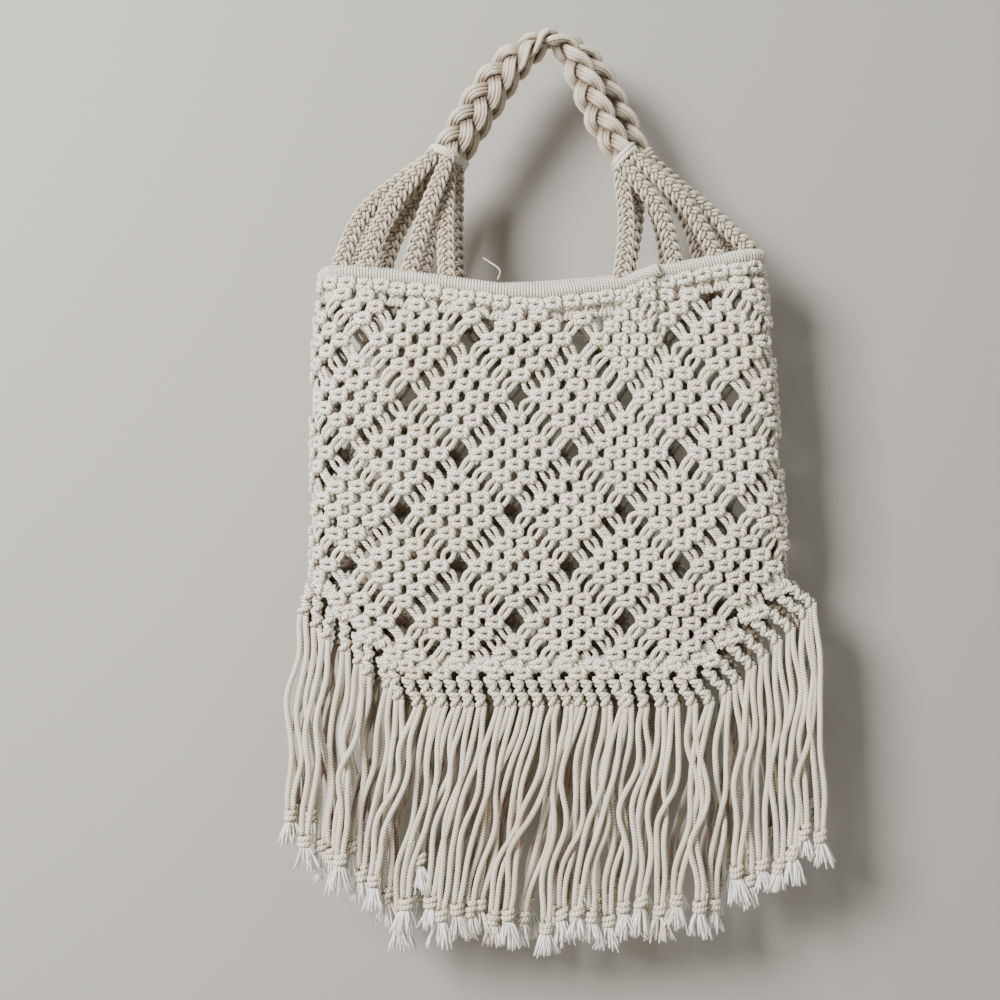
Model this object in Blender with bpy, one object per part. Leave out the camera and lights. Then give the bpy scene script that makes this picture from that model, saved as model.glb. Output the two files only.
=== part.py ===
"""Knotted cord tote bag, hanging by its two plaited handles.

Metres, +Z up, the front faces -Y. The origin is the point that the handles hang on.
The body is a net of square knots in diamonds, made in the round and closed along a
rounded bottom edge, where the cord ends go on as a long fringe.
"""
import bpy
import bmesh
import numpy as np

# Driving dimensions
BAG_WIDTH = 0.324        # between the middles of the two side walls, at the widest row
BAG_DEPTH = 0.040        # between the middles of the front and back walls, at the rim
ROW_DROP = 0.0383        # height of half a diamond
ROW_ZERO = 0.158         # depth of the first row of diamonds below the hang point
ROWS = 7                 # half diamonds from the rim down to the closing row
COLUMNS = 18             # half diamonds all the way round
PHASE = 0.357            # place of a crossing right of the front's middle, in columns
WALL = 0.0080            # thickness of the knotted net at the diamonds
GAP_WALL = 0.0056        # thickness of the net along the gap lines
CROSSING = 0.11          # half width of a gap line, as a share of a diamond's side
SLOT = 0.34              # where a slot starts along a diamond's side
CORNER_ROW = 5.25        # row where the rounded bottom starts at the sides
CORNER_CLOSING = 0.75    # how fast the bag closes towards a cut corner, against the flat bottom
CLOSING_ROWS = 2.0       # rows over which the two faces come together at the bottom
TOP_SOLID = 0.45         # rows under the rim where no opening is cut
SIDE_SOLID = 0.40        # columns beside the side walls, and rows over the bottom, likewise
SIDE_STRIP = 0.40        # columns of the front's side strips, which round the bag's sides
CORNER_SOLID = 0.30      # rows over the cut corners, likewise
WELD = 0.02              # columns within which two points of the net's sheet are one
RIM_ROD = 0.0100         # thickness of the wrapped rim
RIM_LAP = 0.0040         # space between the two ends of the rim
BRAID_WIDTH = 0.0130
BRAID_THICK = 0.0085
BRAID_TAPER = 0.62       # width left where a braid enters its tie
THICK_TAPER = 0.90       # thickness left there
GRIP_WIDTH = 0.0240
GRIP_THICK = 0.0160
GRIP_PITCH = 0.0150      # one lobe of the plait
GRIP_SPREAD = 0.0090     # front grip's middle to the wall plane
TIE_LENGTH = 0.0100
TIE_WIDTH = 0.0200
TIE_THICK = 0.0170
HANDLE_RISE = 0.158      # height that the handles' tables are shares of
FRINGE_DROP = 0.190      # closing row to the lowest fringe end
FRINGE_THICK = 0.0085
LOCK_FILL = 0.80         # share of its pitch that a lock of fringe takes
LOCKS = 18               # locks of fringe on each side
CLEAR = 0.0003           # clearance between pieces that touch
SEAT = 0.0006            # clearance under a braid's foot, where the rim bends
FOOT_REACH = 0.25        # columns each side of a braid's foot that the rim's slope is taken over
SLOPE_REACH = 0.12       # and each side of a place on the net's top edge
BRAID_DEPTH_BOW = 0.55   # how far a braid's middle stands out in depth, against its head
SCALLOP = 0.05           # how much a braid's edge swells at a lobe
SCALLOPS = 9             # swells and waists along a braid
GRIP_SWELL = 0.07        # how much the thick plait swells at a lobe
GRIP_NECK = 0.06         # share of its length over which it narrows into a tie
FRINGE_HEAD = 0.010      # height of the band that the locks of fringe hang from

HALF_WIDTH = BAG_WIDTH / 2.0
HALF_DEPTH = BAG_DEPTH / 2.0
SIDE = COLUMNS / 4.0     # column where the front meets the back
COLUMN_WIDTH = BAG_WIDTH / (COLUMNS / 2.0)
COTTON = (0.80, 0.75, 0.66, 1.0)

# Row, left edge and right edge as shares of the half width, half depth as a share
BODY_ROWS = np.array([
    (-0.5, -0.960, 0.885, 1.00),
    (0.0, -0.967, 0.900, 1.00),
    (1.0, -0.988, 0.927, 1.04),
    (2.0, -0.996, 0.944, 1.00),
    (3.0, -0.996, 0.960, 0.96),
    (4.0, -0.998, 0.981, 0.88),
    (5.0, -1.000, 0.996, 0.80),
    (6.0, -1.000, 1.000, 0.70),
    (7.0, -1.000, 1.000, 0.60),
])

# Column, height of the rim's middle over row zero as a share of a row's drop, and
# how far the rim leans forward as a share of the depth
RIM_LINE = np.array([
    (-9.0, 0.10, 0.00),
    (-6.5, 0.02, 0.00),
    (-4.5, 0.16, 0.00),
    (-4.1, 0.24, 0.00),
    (-3.3, 0.19, 0.03),
    (-2.4, 0.09, 0.08),
    (-1.4, -0.05, 0.15),
    (-0.6, -0.16, 0.20),
    (0.1, -0.19, 0.21),
    (0.7, -0.10, 0.19),
    (1.5, -0.02, 0.13),
    (2.02, 0.20, 0.06),
    (2.12, 0.22, -0.08),
    (2.9, 0.35, -0.06),
    (3.7, 0.49, -0.03),
    (4.2, 0.56, 0.00),
    (4.5, 0.50, 0.00),
    (6.5, 0.30, 0.00),
    (9.0, 0.10, 0.00),
])
RIM_END = 2.07           # column where the two ends of the rim meet
LEAN_ROWS = 2.0          # rows over which the forward lean dies away

# Row and how many columns the pattern is pulled right beside the pleat
PLEAT_ROWS = np.array([(-0.5, 0.36), (0.0, 0.34), (1.0, 0.286), (2.0, 0.143), (3.0, 0.05), (4.0, 0.0)])
# Column and share of that pull
PLEAT_COLUMNS = np.array([(-9.0, 0.0), (-6.0, 1.0), (0.9, 1.1), (2.3, -0.25), (4.5, 0.0), (9.0, 0.0)])

# Handle routes, each a row of points (x, z) as shares of the handle rise
FRONT_TIES = {"left": (-0.463, -0.424), "right": (0.322, -0.437)}
BACK_TIES = {"left": (-0.429, -0.430), "right": (0.403, -0.424)}
FRONT_GRIP = [
    (-0.391, -0.318), (-0.313, -0.197), (-0.232, -0.082), (-0.133, 0.022), (-0.022, 0.082),
    (0.066, 0.036), (0.124, -0.060), (0.176, -0.176), (0.232, -0.300),
]
BACK_GRIP = [
    (-0.350, -0.292), (-0.275, -0.172), (-0.189, -0.047), (-0.086, 0.052), (0.030, 0.106),
    (0.139, 0.045), (0.223, -0.073), (0.296, -0.210), (0.348, -0.310),
]
# Place of each of a fan's four braids in its bundle: to the side and to the back
BUNDLE = [(-1, 1), (-1, -1), (1, -1), (1, 1)]
# Column on the rim where each narrow braid stands, and how far it bows outwards
FRONT_BRAIDS = {"left": [(-3.85, 0.10), (-3.36, 0.05), (-2.52, 0.01), (-1.80, 0.01)],
                "right": [(1.45, 0.03), (2.50, 0.05), (3.28, 0.05), (3.98, 0.04)]}
BACK_BRAIDS = {"left": [(-5.20, 0.08), (-5.80, 0.05), (-6.60, 0.02), (-7.35, 0.01)],
               "right": [(7.35, 0.02), (6.50, 0.04), (5.80, 0.05), (5.15, 0.04)]}

# Fringe: place along the bottom edge from left to right, how far the end swings sideways
# as a share of the bag's width, and how far it hangs as a share of the fringe's drop
FRINGE_ENDS = np.array([
    (0.00, -0.079, 0.60),
    (0.08, -0.062, 0.68),
    (0.18, -0.026, 0.82),
    (0.28, 0.000, 0.96),
    (0.50, 0.004, 1.00),
    (0.70, 0.013, 0.95),
    (0.82, 0.031, 0.86),
    (0.92, 0.057, 0.70),
    (1.00, 0.088, 0.66),
])
# Lock of fringe: share down, width share, thickness share
LOCK_FORM = np.array([
    (0.14, 0.80, 0.85),
    (0.48, 0.88, 0.80),
    (0.80, 0.72, 0.75),
    (0.86, 0.95, 1.05),
    (0.90, 0.68, 0.80),
    (1.00, 1.10, 1.00),
])
LOCK_STEPS = (0.00, -0.05, 0.02, -0.08, 0.01, -0.03)   # uneven ends, share of the lock's drop


def clear_scene():
    """Take every object out of the scene."""
    for item in list(bpy.data.objects):
        bpy.data.objects.remove(item, do_unlink=True)


def material(name, colour, roughness=0.9):
    """A plain matt cotton material."""
    made = bpy.data.materials.new(name)
    made.use_nodes = True
    shader = made.node_tree.nodes["Principled BSDF"]
    shader.inputs["Base Color"].default_value = colour
    shader.inputs["Roughness"].default_value = roughness
    shader.inputs["Metallic"].default_value = 0.0
    return made


def add_solid(name, points, faces, colour=COTTON):
    """One closed body from points and faces, turned to face out and shaded smooth."""
    mesh = bpy.data.meshes.new(name)
    mesh.from_pydata([tuple(p) for p in points], [], [tuple(f) for f in faces])
    work = bmesh.new()
    work.from_mesh(mesh)
    bmesh.ops.remove_doubles(work, verts=work.verts, dist=1e-6)
    bmesh.ops.recalc_face_normals(work, faces=work.faces)
    bmesh.ops.triangulate(work, faces=work.faces)
    work.to_mesh(mesh)
    work.free()
    mesh.shade_smooth()
    mesh.set_sharp_from_angle(angle=0.9)
    mesh.materials.append(material(name + "_cotton", colour))
    made = bpy.data.objects.new(name, mesh)
    bpy.context.scene.collection.objects.link(made)
    return made


def smooth(share):
    """Ease from 0 to 1, flat at both ends."""
    held = np.clip(share, 0.0, 1.0)
    return held * held * (3.0 - 2.0 * held)


def bottom_distance(column, row):
    """Rows left between a place and the bottom edge, flat in the middle and cut at the corners."""
    flat = ROWS - row
    corner = (SIDE - np.abs(column)) + (CORNER_ROW - row)
    return np.minimum(flat, np.maximum(corner, 0.0) * CORNER_CLOSING)


def bag_surface(column, row, out=0.0):
    """Point on the bag. The section at each row is a stadium: two straight walls joined by
    half circles, walked from the front's middle, with out measured along its normal."""
    column = np.asarray(column, float)
    row = np.asarray(row, float)
    left = np.interp(row, BODY_ROWS[:, 0], BODY_ROWS[:, 1]) * HALF_WIDTH
    right = np.interp(row, BODY_ROWS[:, 0], BODY_ROWS[:, 2]) * HALF_WIDTH
    half = np.interp(row, BODY_ROWS[:, 0], BODY_ROWS[:, 3]) * HALF_DEPTH
    wrapped = (column + COLUMNS / 2.0) % COLUMNS - COLUMNS / 2.0
    straight = (right - left) - 2.0 * half
    arc = np.abs(wrapped) / COLUMNS * (2.0 * straight + 2.0 * np.pi * half)
    turn = np.clip((arc - straight / 2.0) / half, 0.0, np.pi)
    along = np.minimum(arc, straight / 2.0) - np.maximum(arc - straight / 2.0 - np.pi * half, 0.0)
    side = np.where(wrapped < 0.0, -1.0, 1.0)
    near = np.where(turn < np.pi / 2.0, wrapped, SIDE * 2.0 - np.abs(wrapped))
    closing = smooth(bottom_distance(near, row) / CLOSING_ROWS)
    shut = WALL / 2.0 + CLEAR / 2.0
    depth = shut + (half - shut) * closing
    lean = np.interp(wrapped, RIM_LINE[:, 0], RIM_LINE[:, 2]) * BAG_DEPTH
    lean = lean * (1.0 - smooth(row / LEAN_ROWS))
    x = (left + right) / 2.0 + side * (along + half * np.sin(turn)) + side * np.sin(turn) * out
    y = -np.cos(turn) * (depth + out) - lean
    z = -ROW_ZERO - row * ROW_DROP + 0.0 * x
    return np.stack([x, y, z], axis=-1)


def pulled(column, row):
    """Column on the surface of a place in the pattern, pulled sideways beside the pleat."""
    pull = np.interp(row, PLEAT_ROWS[:, 0], PLEAT_ROWS[:, 1])
    return column + pull * np.interp(column, PLEAT_COLUMNS[:, 0], PLEAT_COLUMNS[:, 1])


def rim_height(column):
    """Height of the rim's middle over the first row."""
    wrapped = (np.asarray(column, float) + COLUMNS / 2.0) % COLUMNS - COLUMNS / 2.0
    return np.interp(wrapped, RIM_LINE[:, 0], RIM_LINE[:, 1]) * ROW_DROP


def rim_point(column):
    """Middle of the rim rope at a column."""
    point = bag_surface(column, np.zeros_like(np.asarray(column, float)))
    point[..., 2] = -ROW_ZERO + rim_height(column)
    return point


def rim_under(column):
    """Height just clear of the rim's underside. A rope that runs at a slant is deeper,
    measured upright, by the length of its slope."""
    before, after = rim_point(column - SLOPE_REACH), rim_point(column + SLOPE_REACH)
    level = np.hypot(after[..., 0] - before[..., 0], after[..., 1] - before[..., 1])
    slope = (after[..., 2] - before[..., 2]) / level
    return rim_point(column)[..., 2] - RIM_ROD / 2.0 * np.sqrt(1.0 + slope ** 2) - CLEAR * 2.0


def panel(name, middle, low, high, slots):
    """The knotted net from column low to column high, on the face whose middle is given.

    The net is a sheet of diamonds in slanted coordinates a and b, whose whole numbers
    are the gap lines. Each crossing of two gap lines is cut through, and so is the
    middle of each gap line where slots is set. Walls stand round every opening."""
    cuts = (CROSSING, SLOT, 1.0 - SLOT, 1.0 - CROSSING)
    reach = range(-14, 15)
    lines = np.array(sorted([whole + cut for whole in reach for cut in cuts]))
    sheet = bmesh.new()
    grid = {}

    def corner(i, j):
        if (i, j) not in grid:
            a, b = lines[i], lines[j]
            grid[(i, j)] = sheet.verts.new((PHASE + a + b, 1.0 + a - b, 0.0))
        return grid[(i, j)]

    left, right = middle - SIDE, middle + SIDE
    for i in range(len(lines) - 1):
        for j in range(len(lines) - 1):
            a = (lines[i] + lines[i + 1]) / 2.0
            b = (lines[j] + lines[j + 1]) / 2.0
            column, row = PHASE + a + b, 1.0 + a - b
            if not (low - 1.0 < column < high + 1.0 and -1.0 < row < ROWS + 1.0):
                continue
            inner = left + SIDE_SOLID < column < right - SIDE_SOLID
            inner = inner and TOP_SOLID < row < ROWS - SIDE_SOLID
            inner = inner and bottom_distance(column - middle, row) > CORNER_SOLID
            near_a = abs(a - round(a)) < CROSSING
            near_b = abs(b - round(b)) < CROSSING
            mid_a = abs(a - np.floor(a) - 0.5) < 0.5 - SLOT
            mid_b = abs(b - np.floor(b) - 0.5) < 0.5 - SLOT
            crossing = near_a and near_b
            slot = slots and ((near_a and mid_b) or (near_b and mid_a))
            if inner and (crossing or slot):
                continue
            sheet.faces.new((corner(i, j), corner(i + 1, j), corner(i + 1, j + 1), corner(i, j + 1)))

    seam = CLEAR / 2.0 / COLUMN_WIDTH
    borders = [
        ((0.0, 0.0), (0.0, -1.0)),
        ((0.0, ROWS), (0.0, 1.0)),
        ((low + seam, 0.0), (-1.0, 0.0)),
        ((high - seam, 0.0), (1.0, 0.0)),
        ((right, CORNER_ROW), (1.0, 1.0)),
        ((left, CORNER_ROW), (-1.0, 1.0)),
    ]
    for place, away in borders:
        everything = sheet.verts[:] + sheet.edges[:] + sheet.faces[:]
        bmesh.ops.bisect_plane(sheet, geom=everything, dist=1e-5, plane_co=(place[0], place[1], 0.0),
                               plane_no=(away[0], away[1], 0.0), clear_outer=True)
    bmesh.ops.remove_doubles(sheet, verts=sheet.verts, dist=WELD)
    sheet.verts.ensure_lookup_table()
    sheet.verts.index_update()
    flat = np.array([v.co[:2] for v in sheet.verts])
    faces = [[v.index for v in f.verts] for f in sheet.faces]
    edges = [(e.verts[0].index, e.verts[1].index) for e in sheet.edges if len(e.link_faces) == 1]
    sheet.free()

    column, row = flat[:, 0], flat[:, 1]
    a = (column - PHASE + row - 1.0) / 2.0
    b = (column - PHASE - row + 1.0) / 2.0
    line = np.minimum(np.abs(a - np.round(a)), np.abs(b - np.round(b)))
    thick = np.where(line < CROSSING * 1.1, GAP_WALL, WALL) / 2.0
    place = pulled(column, row)
    place = np.where(np.abs(column - left) < WELD, column, place)
    place = np.where(np.abs(column - right) < WELD, column, place)
    outer = bag_surface(place, row, thick)
    inner = bag_surface(place, row, -thick)
    top = rim_under(place)
    lift = (top - outer[:, 2]) * np.clip(1.0 - row, 0.0, 1.0)
    outer[:, 2] += lift
    inner[:, 2] += lift
    count = len(flat)
    solid = faces + [[n + count for n in reversed(f)] for f in faces]
    solid += [(e[1], e[0], e[0] + count, e[1] + count) for e in edges]
    return add_solid(name, np.vstack([outer, inner]), solid)


def tube(name, path, half_wide, half_thick, sides, wide_axis=None, foot=None, head=None):
    """A closed bar with an oval section carried along a path. The section's wide way lies
    in the plane of the front, square to the path, unless wide_axis gives another. Foot and
    head are planes, a point and a normal each, that the bar's two ends lie flat on."""
    path = np.asarray(path, float)
    ahead = np.gradient(path, axis=0)
    ahead /= np.linalg.norm(ahead, axis=1)[:, None]
    depth = np.array([0.0, 1.0, 0.0]) if wide_axis is None else np.asarray(wide_axis, float)
    wide = np.cross(ahead, depth)
    wide /= np.linalg.norm(wide, axis=1)[:, None]
    deep = np.cross(wide, ahead)
    angle = np.arange(sides) / sides * 2.0 * np.pi
    ring = path[:, None, :] \
        + wide[:, None, :] * (np.cos(angle)[None, :, None] * np.reshape(half_wide, (-1, 1, 1))) \
        + deep[:, None, :] * (np.sin(angle)[None, :, None] * np.reshape(half_thick, (-1, 1, 1)))
    for index, plane in ((0, foot), (-1, head)):
        if plane is not None:
            place, normal = plane
            reach = ((place - ring[index]) @ normal) / (ahead[index] @ normal)
            ring[index] += reach[:, None] * ahead[index]
    count = len(path)
    points = ring.reshape(-1, 3)
    faces = []
    for i in range(count - 1):
        for j in range(sides):
            k = (j + 1) % sides
            faces.append((i * sides + j, i * sides + k, (i + 1) * sides + k, (i + 1) * sides + j))
    faces.append(tuple(range(sides)))
    faces.append(tuple(range((count - 1) * sides, count * sides)))
    return add_solid(name, points, faces)


def through(points, count):
    """Evenly spaced points on a smooth curve through the given points."""
    points = np.asarray(points, float)
    padded = np.vstack([2 * points[0] - points[1], points, 2 * points[-1] - points[-2]])
    share = np.linspace(0.0, len(points) - 1.0, 40 * len(points))
    index = np.minimum(share.astype(int), len(points) - 2)
    t = (share - index)[:, None]
    p0, p1, p2, p3 = (padded[index + n] for n in range(4))
    fine = 0.5 * (2 * p1 + (p2 - p0) * t + (2 * p0 - 5 * p1 + 4 * p2 - p3) * t ** 2
                  + (3 * p1 - p0 - 3 * p2 + p3) * t ** 3)
    length = np.concatenate([[0.0], np.cumsum(np.linalg.norm(np.diff(fine, axis=0), axis=1))])
    wanted = np.linspace(0.0, length[-1], count)
    return np.stack([np.interp(wanted, length, fine[:, n]) for n in range(3)], axis=1)


def rim():
    """The wrapped rope round the mouth, one open length whose ends meet at the pleat."""
    gap = RIM_LAP / COLUMN_WIDTH
    columns = np.linspace(RIM_END + gap / 2.0, RIM_END + COLUMNS - gap / 2.0, 260)
    path = through(rim_point(columns), 84)
    half = np.full(len(path), RIM_ROD / 2.0)
    return tube("rim", path, half, half, 8, wide_axis=(0.0, 0.0, 1.0))


def braid(name, column, bow, place, along, spot):
    """A narrow flat braid from the rim up to its tie, flat on both. Its edges are scalloped
    as the plait's are, and it narrows where it enters the tie. Spot is its place in the
    bundle of four, one step to a side and one step in depth."""
    before, foot, after = rim_point(np.array([column - FOOT_REACH, column, column + FOOT_REACH]))
    rise = after - before
    foot[2] = (before[2] + after[2]) / 2.0
    foot[2] += RIM_ROD / 2.0 * np.linalg.norm(rise) / np.hypot(rise[0], rise[1]) + SEAT
    across = np.array([along[2], 0.0, -along[0]])
    end = place - along * (TIE_LENGTH / 2.0 + CLEAR)
    step_x = BRAID_WIDTH / 2.0 * BRAID_TAPER + CLEAR
    step_y = BRAID_THICK / 2.0 * THICK_TAPER + CLEAR
    head = end + across * spot[0] * step_x + np.array([0.0, spot[1] * step_y, 0.0])
    outwards = np.array([np.sign(place[0]) * bow * HANDLE_RISE, spot[1] * step_y * BRAID_DEPTH_BOW, 0.0])
    path = through([foot, (foot + head) / 2.0 + outwards, head], 10)
    share = np.linspace(0.0, 1.0, len(path))
    taper = smooth((share - 0.5) / 0.5)
    scallop = 1.0 + SCALLOP * np.cos(share * np.pi * SCALLOPS) * (1.0 - taper)
    wide = BRAID_WIDTH / 2.0 * (1.0 + (BRAID_TAPER - 1.0) * taper) * scallop
    thick = BRAID_THICK / 2.0 * (1.0 + (THICK_TAPER - 1.0) * taper)
    seat = np.array([-rise[2] * np.sign(rise[0]), 0.0, abs(rise[0])])
    return tube(name, path, wide, thick, 6, foot=(foot, seat), head=(head, along))


def grip(name, points):
    """The thick plait of a handle, whose edges swell and shrink with the lobes."""
    rough = through(points, 200)
    length = np.linalg.norm(np.diff(rough, axis=0), axis=1).sum()
    lobes = int(round(length / GRIP_PITCH))
    path = through(points, lobes * 2 + 1)
    share = np.linspace(0.0, 1.0, len(path))
    ends = np.minimum(smooth(share / GRIP_NECK), smooth((1.0 - share) / GRIP_NECK))
    swell = 1.0 + GRIP_SWELL * np.cos(share * lobes * 2.0 * np.pi) * ends
    neck = TIE_WIDTH / GRIP_WIDTH
    wide = GRIP_WIDTH / 2.0 * swell * (neck + (1.0 - neck) * ends)
    return tube(name, path, wide, np.full(len(path), GRIP_THICK / 2.0), 8)


def tie(name, place, along):
    """The cord wound round the place where four braids turn into the plait."""
    path = [place + along * TIE_LENGTH * share for share in (-0.5, -0.25, 0.25, 0.5)]
    shape = np.array([0.86, 1.0, 1.0, 0.86])
    return tube(name, path, TIE_WIDTH / 2.0 * shape, TIE_THICK / 2.0 * shape, 10)


def handle(label, ties, braids, route, front):
    """One handle: two fans of four braids, two ties and the plaited grip."""
    depth = front * GRIP_SPREAD
    points = [np.array([x * HANDLE_RISE, depth, z * HANDLE_RISE]) for x, z in route]
    ends = []
    for hand, nearest in (("left", points[0]), ("right", points[-1])):
        place = np.array([ties[hand][0] * HANDLE_RISE, depth, ties[hand][1] * HANDLE_RISE])
        along = (nearest - place) / np.linalg.norm(nearest - place)
        tie("{}_{}_tie".format(label, hand), place, along)
        for number, (column, bow) in enumerate(braids[hand]):
            side, behind = BUNDLE[number]
            spot = (side, -behind * front)
            braid("{}_{}_braid_{}".format(label, hand, number + 1), column, bow, place, along, spot)
        ends.append(place + along * (TIE_LENGTH / 2.0 + CLEAR))
    grip("{}_grip".format(label), [ends[0]] + points + [ends[1]])


def bottom_legs():
    """Length walked at the ends of the three straight runs of the closing line."""
    corner = ROWS - CORNER_ROW
    slanted = corner * np.sqrt(2.0)
    level = 2.0 * (SIDE - corner)
    return np.cumsum([0.0, slanted, level, slanted])


def bottom_edge(share, front):
    """Point on the closing line, walked from the left side to the right side."""
    corner = ROWS - CORNER_ROW
    legs = bottom_legs()
    walk = np.asarray(share, float) * legs[-1]
    column = np.interp(walk, legs, [-SIDE, -SIDE + corner, SIDE - corner, SIDE])
    row = np.interp(walk, legs, [CORNER_ROW, ROWS, ROWS, CORNER_ROW])
    point = bag_surface(column, row, WALL / 2.0)
    point[..., 1] = front * (FRINGE_THICK / 2.0 + CLEAR / 2.0)
    return point


def fringe(name, front, shift):
    """A head band under the closing line with a row of hanging locks fused to it. Each
    lock is a four sided bar: cords, a swelling at its knot, and a flared tassel."""
    pitch = 1.0 / LOCKS
    starts = (np.arange(LOCKS) + 0.5 - LOCK_FILL / 2.0) * pitch
    ends = starts + LOCK_FILL * pitch
    stations = np.sort(np.concatenate([[0.0], starts, ends, [1.0]]))
    legs = bottom_legs()
    for bend in legs[1:3] / legs[-1]:
        stations[np.argmin(np.abs(stations - bend))] = bend
    top = bottom_edge(stations, front)
    ahead = np.gradient(top, axis=0)
    slant = np.stack([ahead[:, 2], np.zeros(len(ahead)), -ahead[:, 0]], axis=1)
    slant /= np.linalg.norm(slant, axis=1)[:, None]
    top = top + slant * CLEAR * 3.0
    low = top + slant * FRINGE_HEAD
    half = np.array([0.0, FRINGE_THICK / 2.0, 0.0])
    count = len(stations)
    points = [*(top - half), *(top + half), *(low - half), *(low + half)]
    tf, tb, lf, lb = 0, count, 2 * count, 3 * count
    faces = []
    for i in range(count - 1):
        faces += [(tf + i, tf + i + 1, lf + i + 1, lf + i), (tb + i, lb + i, lb + i + 1, tb + i + 1),
                  (tf + i, tb + i, tb + i + 1, tf + i + 1)]
        if i % 2 == 0:
            faces.append((lf + i, lf + i + 1, lb + i + 1, lb + i))
    faces += [(tf, lf, lb, tb), (tf + count - 1, tb + count - 1, lb + count - 1, lf + count - 1)]
    floor = -ROW_ZERO - ROWS * ROW_DROP
    for number in range(LOCKS):
        i = 1 + 2 * number
        share = (stations[i] + stations[i + 1]) / 2.0
        foot = (low[i] + low[i + 1]) / 2.0
        reach = np.interp(share, FRINGE_ENDS[:, 0], FRINGE_ENDS[:, 1]) * BAG_WIDTH
        depth = np.interp(share, FRINGE_ENDS[:, 0], FRINGE_ENDS[:, 2]) * FRINGE_DROP
        depth *= 1.0 + LOCK_STEPS[(number + shift) % len(LOCK_STEPS)]
        end = np.array([foot[0] + reach, foot[1], floor - depth])
        drop = foot[2] - end[2]
        width = BAG_WIDTH / LOCKS * LOCK_FILL
        last = (lf + i, lf + i + 1, lb + i + 1, lb + i)
        for down, wide, thick in LOCK_FORM:
            bend = smooth(down)
            middle = foot + np.array([(end[0] - foot[0]) * bend, 0.0, -drop * down])
            w = np.array([width / 2.0 * wide, 0.0, 0.0])
            t = half * thick
            base = len(points)
            points += [middle - w - t, middle + w - t, middle + w + t, middle - w + t]
            now = (base, base + 1, base + 2, base + 3)
            faces += [(last[k], last[(k + 1) % 4], now[(k + 1) % 4], now[k]) for k in range(4)]
            last = now
        faces.append(last)
    return add_solid(name, points, faces)


clear_scene()
strip = SIDE - SIDE_STRIP
panel("front_panel", 0.0, -strip, strip, True)
panel("front_left_side", 0.0, -SIDE, -strip, True)
panel("front_right_side", 0.0, strip, SIDE, True)
panel("back_panel", COLUMNS / 2.0, SIDE, COLUMNS - SIDE, False)
rim()
handle("front", FRONT_TIES, FRONT_BRAIDS, FRONT_GRIP, -1.0)
handle("back", BACK_TIES, BACK_BRAIDS, BACK_GRIP, 1.0)
fringe("front_fringe", -1.0, 0)
fringe("back_fringe", 1.0, 3)
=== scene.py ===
"""Knotted cord tote bag: every knot, cord, plait and tassel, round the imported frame.

Metres, +Z up, the front faces -Y. The origin is the point that the handles hang on.
"""
import bpy
import numpy as np
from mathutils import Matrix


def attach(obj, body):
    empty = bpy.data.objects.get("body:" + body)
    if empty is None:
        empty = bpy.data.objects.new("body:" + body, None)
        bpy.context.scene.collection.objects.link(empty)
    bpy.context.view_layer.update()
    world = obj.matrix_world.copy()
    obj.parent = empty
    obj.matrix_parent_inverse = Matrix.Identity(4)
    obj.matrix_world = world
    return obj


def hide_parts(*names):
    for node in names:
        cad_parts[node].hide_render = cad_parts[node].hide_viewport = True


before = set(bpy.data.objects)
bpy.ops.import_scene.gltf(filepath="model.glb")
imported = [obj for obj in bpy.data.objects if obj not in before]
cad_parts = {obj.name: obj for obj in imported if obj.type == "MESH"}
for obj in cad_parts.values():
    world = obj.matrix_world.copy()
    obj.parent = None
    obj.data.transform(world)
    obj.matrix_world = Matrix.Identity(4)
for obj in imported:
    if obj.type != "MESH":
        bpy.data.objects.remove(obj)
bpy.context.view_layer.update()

# Studio: a pale sheet that lies as a floor and sweeps up close behind the bag, soft light
# from the upper left and a camera level with the middle of the bag. From behind, the sheet
# is clear and a lamp shines through it.
PIXEL = 0.000678  # real size of one pixel of the view at the front of the bag
VIEW_PIXELS = 1000.0
VIEW_CENTRE = (-0.0346, -0.3044)
VIEW_DISTANCE = 0.92
BAG_FRONT = 0.02  # from the hang point forward to the front of the bag
AIM = (0.0, 0.0, -0.3)
# Lamps: name, place, the point it aims at, size, power and colour
LAMPS = [("key", (-1.1, -1.35, 0.45), AIM, 0.7, 88.0, (1.0, 0.985, 0.955)),
         ("fill", (1.5, -1.2, -0.1), AIM, 1.6, 5.0, (0.95, 0.97, 1.0)),
         ("top", (0.2, -0.3, 1.1), (0.0, 0.02, -0.4), 0.6, 3.0, (1.0, 1.0, 1.0)),
         ("behind", (0.7, 1.7, 0.5), AIM, 1.0, 18.0, (1.0, 0.985, 0.96))]


def placed(name, data):
    """A new object in the scene."""
    made = bpy.data.objects.new(name, data)
    bpy.context.scene.collection.objects.link(made)
    return made


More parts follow.
